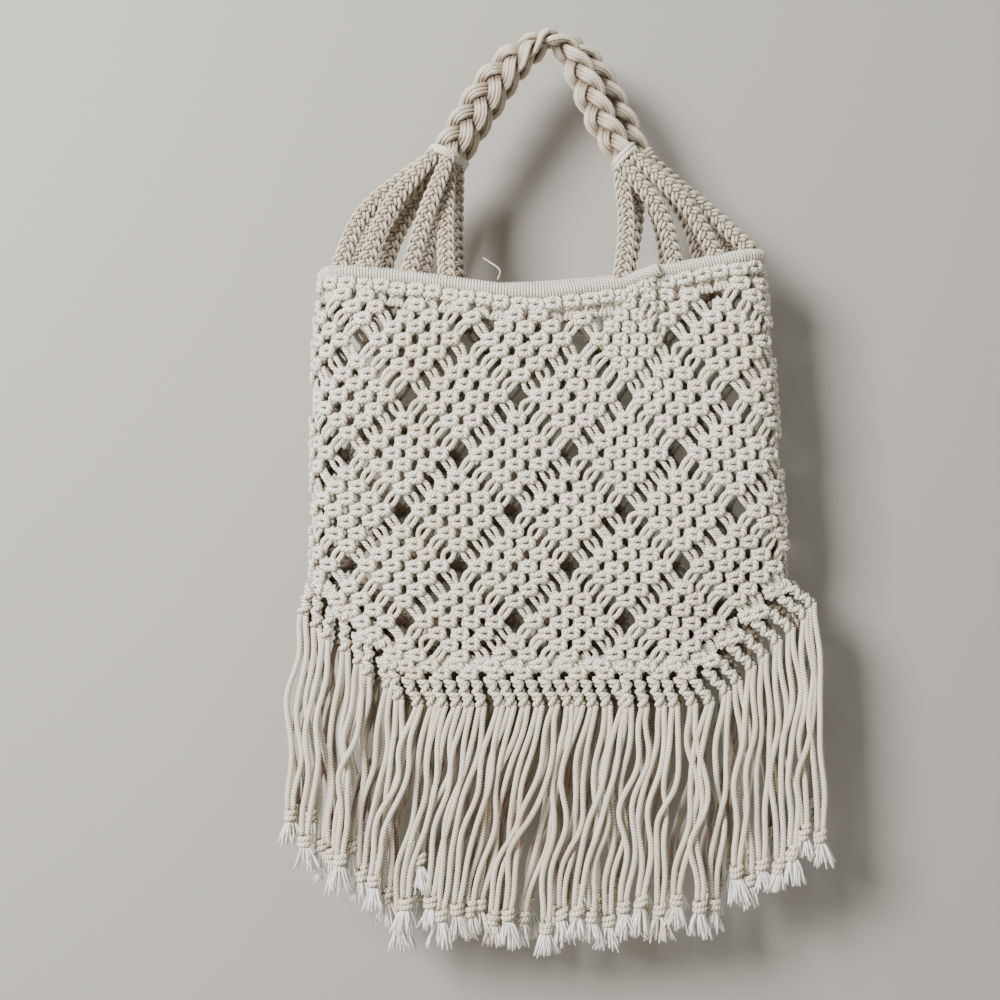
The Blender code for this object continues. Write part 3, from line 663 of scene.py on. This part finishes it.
net(0, "front")
net(1, "back")

# The closing row and the fringe: the last row of knots follows the rounded bottom edge.
# Under it every two cords run through a short chain of half hitches, then hang free as a
# pair, tied near the end in one overhand knot below which the strands are combed out.
FLAT_KNOTS = 11  # closing knots along the level part of the edge
SLANT_KNOTS = 4  # and along each slanted part
HITCH = 0.0046  # height of one half hitch, four to a chain
CHAIN_CORD = 0.0039
FRINGE_CORD = 0.0042  # thickness of a cord that hangs free
END_KNOT = 0.004  # thickness of the cord in an end knot
TASSEL = 0.0165  # length of the combed out strands
# End knots of the front fringe, left to right: millimetres right and down of the hang point
FRINGE_KNOTS = np.array([
    (-179, 522), (-168, 537), (-158, 542), (-151, 547), (-144, 551), (-138, 545), (-130, 562),
    (-121, 565), (-113, 577), (-104, 593), (-99, 580), (-90, 552), (-82, 579), (-75, 588),
    (-64, 584), (-55, 585), (-49, 584), (-39, 592), (-29, 588), (-19, 593), (-3, 597),
    (8, 589), (18, 586), (28, 589), (40, 594), (50, 584), (62, 581), (75, 586),
    (86, 578), (102, 582), (113, 583), (127, 558), (136, 565), (145, 555), (157, 555),
    (166, 546), (174, 532), (185, 535)], float) / 1000.0
# How far a chain slants right for its drop, by its place along the edge
CHAIN_LEAN = np.array([(0.0, -0.25), (0.15, 0.1), (0.3, 0.35), (0.5, 0.4), (0.7, 0.3),
                       (0.8, 0.9), (1.0, 1.4)])
# Route of the two cords through one half hitch in millimetres: to the tying cord's own side,
# outwards, and down as a share of the hitch
TYING = [(2.3, 0.6, 0.02), (1.2, 2.4, 0.2), (-0.9, 2.8, 0.5), (-3.0, 1.2, 0.78), (-2.2, -1.6, 0.92),
         (0.8, -1.9, 0.76), (2.3, -0.6, 0.74)]
HELD = [(0.7, -0.3, 0.15), (-0.1, -0.3, 0.5), (0.9, -0.2, 0.9)]
HITCHES = 4
HITCH_WIDTH = 0.92
# Each pair of numbers below is a least length and how much more there is by chance
CHAIN_OUT = (0.0036, 0.001)
SWING = (0.001, 0.0038)  # how far a pair swings off its line
APART = (0.0021, 0.0012)  # half the space between its two cords
REACH = (0.8, 0.28)  # of a tassel strand, and of a whole tassel, as shares of its length
SKIRT = (0.85, 0.3)
KNOT_OUT = 0.004  # an end knot's place outwards, and how much farther each layer lies
LAYER = 0.0042
TURNED = 0.35  # share of the pairs that turn over once
WHOLE_TURN = 6.28
KNOT_TURNS = 2.35  # turns of the cord in an end knot
KNOT_HEIGHT = 0.0084
STRANDS = (34, 24)  # in a tassel, in front and behind
SPREAD = 0.52  # sideways for the length at a tassel's edge
STRAND_ENDS = (0.00068, 0.00056)


CORNER = ROWS - CORNER_ROW  # columns and rows of each slanted part, and its length
SLANT = CORNER * np.sqrt(2.0)


def bottom_walk(share):
    """Column and row of places along the closing line, from the left side to the right."""
    legs = np.cumsum([0.0, SLANT, 2.0 * (SIDE - CORNER), SLANT])
    walk = np.asarray(share, float) * legs[-1]
    column = np.interp(walk, legs, [-SIDE, -SIDE + CORNER, SIDE - CORNER, SIDE])
    row = np.interp(walk, legs, [CORNER_ROW, ROWS, ROWS, CORNER_ROW])
    return column, row


def edge_shares():
    """Places of the closing knots as shares of the closing line."""
    total = 2.0 * SLANT + 2.0 * (SIDE - CORNER)
    left = (np.arange(SLANT_KNOTS) + 0.45) / SLANT_KNOTS * SLANT
    flat = SLANT + (np.arange(FLAT_KNOTS) + 0.5) / FLAT_KNOTS * (total - 2.0 * SLANT)
    return np.concatenate([left, flat, total - left[::-1]]) / total


def closing_row(face, label):
    """Knots side by side along the closing line, each turned halfway to lie along it, and a
    second row behind and over them, between each two."""
    share = edge_shares()
    share = np.clip(share + face * 0.5 * np.gradient(share), 0.0, 1.0)
    column, row = bottom_walk(share)
    slanted = (row < ROWS - 0.01) * 1.0
    column = column - np.sign(column) * slanted * EDGE_ROW * 0.7
    row = row - EDGE_ROW * (1.0 - 0.3 * slanted)
    tilt = np.sign(column) * slanted * 0.45 + rng.normal(0.0, 0.08, len(row))
    if face == 1:
        column = column + COLUMNS / 2.0
    steps, sides = KNOT_STEPS[face]
    groups = knot_cords(column, row, tilt, steps, sides) + spare_cords(column, row, tilt, 1.0)
    between = (column[1:] + column[:-1]) / 2.0
    over = (row[1:] + row[:-1]) / 2.0 - SECOND_ROW
    groups += knot_cords(between, over, (tilt[1:] + tilt[:-1]) / 2.0, steps, sides, sunk=1.5)
    net_piece(label + "_closing_knots", groups, label)


def chain_routes():
    """The two cords of one chain in metres, to the side, outwards and down: in turn each
    is tied round the other, the first from the left and the second from the right."""
    both = []
    for own, side in ((0, -1.0), (1, 1.0)):
        route = [(side * 1.4, -0.2, -0.5 * HITCH * 1000.0)]
        for hitch in range(HITCHES):
            used = TYING if hitch % 2 == own else HELD
            route += [(side * x * HITCH_WIDTH, out, (hitch + share) * HITCH * 1000.0)
                      for x, out, share in used]
        route.append((side * 1.9, 0.4, (HITCHES + 0.25) * HITCH * 1000.0))
        both.append(np.array(route) / 1000.0)
    return both


def fringe(face, label):
    """All the cords of one face's fringe, in chains, free cords, end knots and tassels."""
    front = -1.0 if face == 0 else 1.0
    outward = np.array([0.0, front, 0.0])
    middles = edge_shares()
    pitch = np.gradient(middles)
    share = np.stack([middles - 0.25 * pitch, middles + 0.25 * pitch], axis=1).reshape(-1)
    share = np.clip(share + face * 0.25 * np.repeat(pitch, 2), 0.002, 0.998)
    count = len(share)
    top = bag_surface(*bottom_walk(share), WALL / 2.0)
    top[:, 1] = front * (CHAIN_OUT[0] + CHAIN_OUT[1] * rng.random(count))
    top[:, 2] -= 0.002
    lean = read(CHAIN_LEAN, share) + rng.normal(0.0, 0.1, count)
    if face == 1:
        lean = lean * 0.6
    down = unit(xyz(lean, 0.0, -1.0))
    across = xyz(-down[:, 2], 0.0, down[:, 0])
    knot = xyz(FRINGE_KNOTS[:, 0], 0.0, -FRINGE_KNOTS[:, 1])
    if face == 1:
        knot[:, 0] += rng.normal(0.004, 0.004, count)
        knot[:, 2] += rng.normal(0.006, 0.006, count)
    layer = rng.permutation(np.arange(count) % 3)
    knot[:, 1] = front * (KNOT_OUT + LAYER * layer + 0.001 * rng.random(count))
    for n in range(1, count - 1, 3):
        if rng.random() < 0.5:
            knot[[n, n + 1]] = knot[[n + 1, n]]

    chains = []
    for route in chain_routes():
        chains.append(top[:, None] + across[:, None] * route[None, :, :1]
                      + outward * route[None, :, 1:2] + down[:, None] * route[None, :, 2:])
    ends = [chain[:, -1] for chain in chains]
    # levels for the painted shade of the chains: points that lie farther back are painted darker
    level = np.concatenate([np.tile(route[:, 1], (count, 1)) for route in chain_routes()])
    steps = 40 if face == 0 else 30
    level = smooth_path(np.repeat(level[:, :, None], 3, 2), steps)[:, :, 0]
    chains = smooth_path(np.concatenate(chains), steps)
    all_out = np.tile(outward, (2 * count, 1))

    # A pair swings as one, with its two cords side by side, and some pairs turn over once
    steps = 46 if face == 0 else 34
    away = np.linspace(0.0, 1.0, 15)
    window = np.sin(np.pi * away)
    phase, waves = rng.random((count, 1)) * WHOLE_TURN, 1.0 + 0.9 * rng.random((count, 1))
    swing = SWING[0] + SWING[1] * rng.random((count, 1))
    turned = (rng.random(count) < TURNED) * np.pi
    apart = APART[0] + APART[1] * rng.random((count, 1))
    turn = turned[:, None] * smooth((away[None] - 0.25 - 0.3 * rng.random((count, 1))) / 0.35)
    hang = []
    for n, way in enumerate((-1.0, 1.0)):
        start = ends[n]
        end = knot + xyz(way * 0.0019 * np.cos(turned), 0.0, 0.004)
        ease = 0.35 * smooth(away) + 0.65 * away ** 0.8
        x = start[:, :1] + (end - start)[:, :1] * ease
        x = x + window * (swing * np.sin(phase + away * waves * WHOLE_TURN)
                          + way * apart * (np.cos(turn) - np.cos(turned)[:, None] * 0.3))
        x = x + window * 0.0007 * np.sin(phase * 3.0 + way + away * 17.0)
        y = start[:, 1:2] + (end - start)[:, 1:2] * smooth(away * 1.6)
        y = y + front * window * apart * way * np.sin(turn)
        z = start[:, 2:] + (end - start)[:, 2:] * away
        hang.append(xyz(x, y, z))
    hang = smooth_path(np.concatenate(hang), steps)
    # levels for the painted shade: pairs in the layers nearer the bag are painted darker
    depth = np.tile(layer[:, None] * 0.0008 + 0.0012, (2, steps))

    # End knot: cord wound a little over twice round the pair, slanting, with its ends inside
    angle = np.linspace(0.0, 2.0 * np.pi * KNOT_TURNS, 38)
    grow = np.minimum(smooth(angle / 1.6), smooth((angle[-1] - angle) / 1.6))
    wound = xyz(np.cos(angle) * (0.0008 + 0.0026 * grow), np.sin(angle) * (0.0006 + 0.0023 * grow),
                KNOT_HEIGHT / 2.0 - angle / angle[-1] * KNOT_HEIGHT)
    spin, slant = rng.random(count) * WHOLE_TURN, rng.normal(0.45, 0.2, count)
    x = wound[None, :, 0] * np.cos(spin)[:, None] - wound[None, :, 1] * np.sin(spin)[:, None]
    y = wound[None, :, 0] * np.sin(spin)[:, None] + wound[None, :, 1] * np.cos(spin)[:, None]
    z = wound[None, :, 2] + x * slant[:, None]
    knots = knot[:, None] + xyz(x, y, z)

    # Tassel: strands that leave the knot together, spread like a skirt and are cut level
    strands, steps = STRANDS[face], 5
    spread = np.sqrt(rng.random((count, strands))) * SPREAD
    around = rng.random((count, strands)) * WHOLE_TURN
    sway = rng.normal(0.0, 0.12, (count, 1))
    reach = TASSEL * (REACH[0] + REACH[1] * rng.random((count, strands)))
    reach = reach * (SKIRT[0] + SKIRT[1] * rng.random((count, 1)))
    away = np.linspace(0.0, 1.0, steps)
    curl = rng.normal(0.0, 0.0006, (2, count, strands, 1))
    reach = reach[..., None]
    fan_x = (spread * np.cos(around) + sway)[..., None] * reach * away ** 0.85
    fan_y = (spread * np.sin(around) * 0.7)[..., None] * reach * away ** 0.85
    x = knot[:, 0, None, None] + 0.0018 * np.cos(around)[..., None] + fan_x
    y = knot[:, 1, None, None] + 0.0014 * np.sin(around)[..., None] + fan_y
    x, y = x + curl[0] * np.sin(away * 4.5), y + curl[1] * np.sin(away * 4.0)
    z = knot[:, 2, None, None] - 0.003 - reach * away
    tassels = xyz(x, y, z).reshape(-1, steps, 3)

    sides = 6 if face == 0 else 5
    made = [cords(label + "_chains", [(chains, CHAIN_CORD / 2.0, sides, all_out, level)], NET_COTTON),
            cords(label + "_fringe_cords", [(hang, FRINGE_CORD / 2.0, sides, all_out, depth)],
                  FRINGE_COTTON),
            cords(label + "_end_knots", [(knots, END_KNOT / 2.0, sides)], FRINGE_COTTON),
            cords(label + "_tassels", [(tassels, np.linspace(*STRAND_ENDS, steps), 4)],
                  FRAYED_COTTON)]
    for piece in made:
        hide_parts(label + "_fringe")


FRINGE_COTTON = cotton("fringe_cotton", (0.92, 0.855, 0.74), (0.36, 0.27, 0.175), 166.0)
FRAYED_COTTON = cotton("frayed_cotton", (0.96, 0.945, 0.91), (0.66, 0.62, 0.54), 40.0,
                       fuzz=0.5, depth=0.0001)
for face, label in ((0, "front"), (1, "back")):
    closing_row(face, label)
    fringe(face, label)

# The rim: a rope round the mouth, wound closely with a thin two-ply cord that binds it to
# the first knots. Its two ends meet in a pleat on the front, one lying over the other.
WRAP_CORD = 0.0021
WRAP_PITCH = 0.00205
WRAP_STEPS = 9  # points to a turn
WRAP_JITTER = 0.03
LOOSE_CORD = 0.001
CORE_SUNK = 0.0012  # core rope's surface under that of the wrapping
# How the upper end goes on over the lower one, in millimetres right, back and up from the
# rope's end, and a loose thread that hangs out in front, the same from the hang point
RIM_TAIL = np.array([(2.5, -0.8, 0.6), (5.0, -1.8, 1.6), (7.0, -2.2, 3.2)])
LOOSE_THREAD = np.array([(-46.0, -24.0, -141.0), (-41.0, -32.0, -145.5), (-35.5, -35.0, -150.0),
                         (-34.6, -35.5, -153.0), (-36.2, -35.0, -157.5)])


def even_path(points, step):
    """Points a step apart along a path."""
    length = walked_along(points)
    wanted = np.linspace(0.0, length[-1], max(int(round(length[-1] / step)), 2))
    return np.stack([np.interp(wanted, length, points[:, n]) for n in range(3)], axis=1)


def soften(points, times):
    """A path whose corners are rounded by averaging each point with its neighbours."""
    for _ in range(times):
        points[1:-1] = (points[:-2] + 2.0 * points[1:-1] + points[2:]) / 4.0
    return points


def rim():
    """A core rope, and a helix of thin cord round it: turns of a circle square to the rope."""
    column = np.linspace(RIM_END + 0.1, RIM_END + COLUMNS - 0.1, 900)
    path = rim_point(column)
    path = np.concatenate([path, path[-1] + RIM_TAIL / 1000.0])
    path = soften(even_path(path, 0.002), 6)
    turns = int(walked_along(path)[-1] / WRAP_PITCH)
    share = np.linspace(0.0, 1.0, turns * WRAP_STEPS)
    at = share * (len(path) - 1)
    middle = np.stack([np.interp(at, np.arange(len(path)), path[:, n]) for n in range(3)], axis=1)
    ahead = unit(np.gradient(middle, axis=0))
    up = unit(np.array([0.0, 0.0, 1.0]) - ahead * ahead[:, 2:])
    side = np.cross(ahead, up)
    angle = np.arange(len(share)) / WRAP_STEPS * 2.0 * np.pi
    jitter = rng.normal(0.0, 1.0, len(path))
    jitter = 1.0 + WRAP_JITTER * np.interp(at, np.arange(len(path)), jitter)
    radius = (RIM_ROD - WRAP_CORD) / 2.0 * jitter
    helix = middle + (up * np.cos(angle)[:, None] + side * np.sin(angle)[:, None]) * radius[:, None]
    half = RIM_ROD / 2.0
    thread = smooth_path(LOOSE_THREAD[None] / 1000.0, 16)
    # the wrapping cord gets painted shade on its side towards the core
    made = cords("rim_wrapping", [(helix[None], WRAP_CORD / 2.0, 5, middle, up / half, side / half),
                                  (path[None], half - CORE_SUNK, 8),
                                  (thread, LOOSE_CORD / 2.0, 4)], WRAP_COTTON)
    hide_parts("rim")


WRAP_COTTON = cotton("wrap_cotton", (0.86, 0.82, 0.73), (0.42, 0.35, 0.26), 260.0,
                     plies=2.0, depth=0.0003)
rim()

# The handles: on each side four narrow plaits stand on the rim and run together into a
# tie, from which one thick plait goes over to the other side. All are plaits of three.
BRAID_WIDTH = 0.013
BRAID_THICK = 0.0085
BRAID_TAPER = 0.8
BRAID_PITCH = 0.0196  # one whole cycle of a narrow plait
GRIP_WIDTH = 0.025
GRIP_PITCH = 0.053
GRIP_THICK = 0.0118
GRIP_CORDS = 8  # round each of the grip's three strands
GRIP_CORD = 0.0028
GRIP_ROUND = 0.52  # thickness of such a strand for its width
GRIP_SPREAD = 0.009
GRIP_WIDTHS = np.array([0.75, 0.95, 1.0, 1.0, 1.0, 1.0, 1.0, 1.0, 0.95, 0.75])
GRIP_ROLL = np.array([0.0, 0.0, 0.1, 0.7, 1.8, 2.5, 2.6, 2.6])
PLAIT_CORD = 0.0027
HANDLE_RISE = 0.158  # unit of the tables below: from the first row up to the hang point
TIE_TURNS = 2.2
TIE_CORD = 0.0034
TIE_HALF = (0.0094, 0.008)  # half width and half thickness of a wound tie
BUNDLE_HALF = (0.0043, 0.004)  # and of the heads of the four plaits in it
BUNDLE = [(-1, 1), (-1, -1), (1, -1), (1, 1)]
FRONT_TIES = {"left": (-0.463, -0.424), "right": (0.322, -0.437)}
BACK_TIES = {"left": (-0.429, -0.43), "right": (0.403, -0.424)}
FRONT_GRIP = [
    (-0.391, -0.318), (-0.313, -0.197), (-0.232, -0.082), (-0.133, 0.022), (-0.022, 0.082),
    (0.066, 0.036), (0.124, -0.06), (0.176, -0.176), (0.232, -0.3),
]
BACK_GRIP = [
    (-0.35, -0.292), (-0.275, -0.172), (-0.189, -0.047), (-0.086, 0.052), (0.03, 0.106),
    (0.139, 0.045), (0.223, -0.073), (0.296, -0.21), (0.348, -0.31),
]
FRONT_BRAIDS = {"left": [(-3.85, 0.1), (-3.36, 0.05), (-2.52, 0.01), (-1.8, 0.01)],
                "right": [(1.45, 0.03), (2.5, 0.05), (3.28, 0.05), (3.98, 0.04)]}
BACK_BRAIDS = {"left": [(-5.2, 0.08), (-5.8, 0.05), (-6.6, 0.02), (-7.35, 0.01)],
               "right": [(7.35, 0.02), (6.5, 0.04), (5.8, 0.05), (5.15, 0.04)]}


def plait(path, width, thick, pitch, strands, cord, phase=0.0, roll=0.0, round_by=0.0):
    """A flat plait of three along a path. Each of its three strands swings from side to
    side in straight slants with a quick turn, sin t - sin 3t / 9, and passes over and
    under twice as often. A strand is cords laid side by side where round_by is 0, or else a
    ring of cords on an oval that is round_by times as thick as it is wide. Width, thick and
    roll, the turn of the plait about its path, may change along the path."""
    path = even_path(np.asarray(path), pitch / 15.0)
    ahead = unit(np.gradient(path, axis=0))
    wide = unit(np.cross(ahead, [0.0, 1.0, 0.0]))
    deep = np.cross(wide, ahead)
    walked = walked_along(path)
    share = np.linspace(0.0, 1.0, len(path))
    width, thick, roll = (np.interp(share, np.linspace(0.0, 1.0, np.size(given)), np.ravel(given))
                          for given in (width, thick, roll))
    roll = roll[:, None]
    turned = wide * np.cos(roll) + deep * np.sin(roll)
    wide, deep = turned, deep * np.cos(roll) - wide * np.sin(roll)
    routes = []
    for strand in range(3):
        turn = walked / pitch * 2.0 * np.pi + strand * 2.0 * np.pi / 3.0 + phase
        band = cord * strands * (0.92 if round_by == 0.0 else 0.44)
        swing = (width - band) / 2.0
        rise = (thick - max(cord, band * round_by)) / 2.0
        swerve = np.sin(turn) if round_by > 0.0 else 0.9 * (np.sin(turn) - np.sin(3.0 * turn) / 9.0)
        middle = path + wide * (swing * swerve)[:, None] + deep * (rise * np.sin(2.0 * turn))[:, None]
        flat = unit(np.cross(unit(np.gradient(middle, axis=0)), deep))
        for n in range(strands):
            if round_by > 0.0:
                angle = (n + 0.5) / strands * 2.0 * np.pi + turn[:, None] * 0.12
                routes.append(middle + flat * np.cos(angle) * (band - cord) / 2.0
                              + deep * np.sin(angle) * (band * round_by - cord) / 2.0)
                continue
            off = (n - (strands - 1) / 2.0) * cord * 0.92
            droop = -0.12 * cord * (n - (strands - 1) / 2.0) ** 2 * np.sign(np.sin(2.0 * turn) + 1e-9)
            routes.append(middle + flat * off + deep * soften(droop[:, None].repeat(3, 1), 4)[:, :1])
    # also the middle line and the two directions over the half sizes, by which the cords inside the
    # plait get painted shade
    return np.stack(routes), path, wide * (2.0 / width)[:, None], deep * (2.0 / thick)[:, None]


def handle(label, ties, braids, route, front):
    """One handle's narrow plaits, its thick plait and its ties."""
    depth = front * GRIP_SPREAD
    points = [np.array([x * HANDLE_RISE, depth, z * HANDLE_RISE]) for x, z in route]
    ends = []
    for hand, nearest in (("left", points[0]), ("right", points[-1])):
        place = np.array([ties[hand][0] * HANDLE_RISE, depth, ties[hand][1] * HANDLE_RISE])
        along = unit(nearest - place)
        across = np.array([along[2], 0.0, -along[0]])
        for number, (column, bow) in enumerate(braids[hand]):
            side, behind = BUNDLE[number]
            foot = rim_point(np.array([column]))[0] + (0.0, 0.0, RIM_ROD / 2.0 - 0.003)
            head = place + across * side * BUNDLE_HALF[0]
            head = head + (0.0, -behind * front * BUNDLE_HALF[1], 0.0)
            bowed = (np.sign(place[0]) * bow * HANDLE_RISE, -behind * front * 0.0024, 0.0)
            path = smooth_path(np.array([foot, (foot + head) / 2.0 + bowed, head]), 60)
            width = BRAID_WIDTH * np.array([1.0, 1.0, 1.0, 1.0, 0.9, BRAID_TAPER])
            routes, *lines = plait(path, width, BRAID_THICK * 0.92, BRAID_PITCH, 2, PLAIT_CORD,
                                   number * 1.3)
            made = cords("{}_{}_plait_{}".format(label, hand, number + 1),
                         [(routes, PLAIT_CORD / 2.0, 5, *lines)], PLAIT_COTTON)
            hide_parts("{}_{}_braid_{}".format(label, hand, number + 1))
        ends.append(place - along * 0.003)
        angle = np.linspace(0.0, 2.0 * np.pi * TIE_TURNS, 60)
        wind = place + across * (np.cos(angle) * TIE_HALF[0])[:, None] \
            + np.array([0.0, 1.0, 0.0]) * (np.sin(angle) * TIE_HALF[1])[:, None] \
            + along * (np.linspace(-0.003, 0.003, 60) + 0.0016 * np.cos(angle))[:, None]
        made = cords("{}_{}_wound_tie".format(label, hand), [(wind[None], TIE_CORD / 2.0, 6)],
                     WRAP_COTTON)
        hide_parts("{}_{}_tie".format(label, hand))
    path = smooth_path(np.array([ends[0]] + points + [ends[1]]), 260)
    routes, *lines = plait(path, GRIP_WIDTH * GRIP_WIDTHS, GRIP_THICK, GRIP_PITCH, GRIP_CORDS,
                           PLAIT_CORD, 0.6, GRIP_ROLL, GRIP_ROUND)
    made = cords("{}_thick_plait".format(label), [(routes, GRIP_CORD / 2.0, 5, *lines)], PLAIT_COTTON)
    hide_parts("{}_grip".format(label))


# Darker and warmer than the net's cotton: the plaits' own colour, darkened a little more as painted
# shade.
PLAIT_COTTON = cotton("plait_cotton", (0.82, 0.75, 0.62), (0.32, 0.245, 0.16), 200.0, depth=0.0004)
handle("front", FRONT_TIES, FRONT_BRAIDS, FRONT_GRIP, -1.0)
handle("back", BACK_TIES, BACK_BRAIDS, BACK_GRIP, 1.0)
